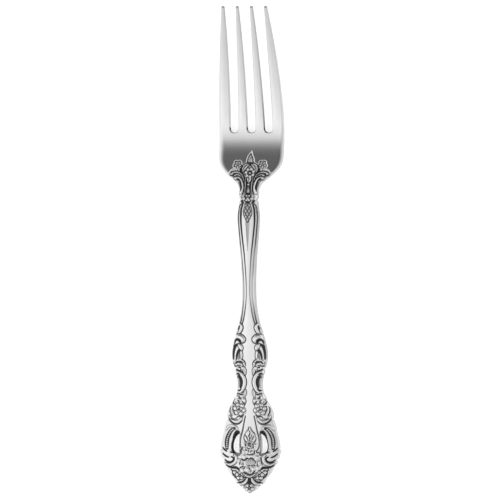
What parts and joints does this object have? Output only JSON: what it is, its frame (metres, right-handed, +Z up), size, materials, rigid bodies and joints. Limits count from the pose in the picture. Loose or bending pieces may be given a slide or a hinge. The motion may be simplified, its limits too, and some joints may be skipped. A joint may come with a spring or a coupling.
{
  "type": "dinner fork",
  "caption": "Steel dinner fork with long curved tines, a slim arched stem and a pierced handle end in traditional relief of scrolls, leaves and roses.",
  "frame": {"origin": "on the table plane, under the middle of the fork's box", "axes": "+Y from the handle end to the tine tips, +Z up out of the face, +X to the right"},
  "size_m": [0.0258, 0.19, 0.0166],
  "materials": {
    "polished_steel": "polished",
    "relief_steel": "satin"
  },
  "bodies": {
    "root": {"outer_left_tine": "polished_steel", "inner_left_tine": "polished_steel", "inner_right_tine": "polished_steel", "outer_right_tine": "polished_steel", "palm": "polished_steel", "neck": "polished_steel", "stem": "polished_steel", "handle_swell": "polished_steel", "handle_bell": "polished_steel", "handle_tongue": "polished_steel", "left_bow": "polished_steel", "right_bow": "polished_steel", "handle_end": "polished_steel", "root_flame": "relief_steel", "root_curls": "relief_steel", "root_rose": "relief_steel", "root_blooms": "relief_steel", "root_scrolls": "relief_steel", "collar_rose": "relief_steel", "stem_bud": "relief_steel", "stem_threads": "relief_steel", "swell_curls": "relief_steel", "swell_volutes": "relief_steel", "swell_leaves": "relief_steel", "swell_roses": "relief_steel", "waist_scrolls": "relief_steel", "cluster_roses": "relief_steel", "bell_scrolls": "relief_steel", "tongue_threads": "relief_steel", "tongue_palmette": "relief_steel", "tongue_rose": "relief_steel", "bow_scrolls": "relief_steel", "bow_beads": "relief_steel", "end_rose": "relief_steel", "end_blooms": "relief_steel", "end_scrolls": "relief_steel", "end_plumes": "relief_steel", "end_leaves": "relief_steel", "tip_rose": "relief_steel"}
  },
  "joints": []
}
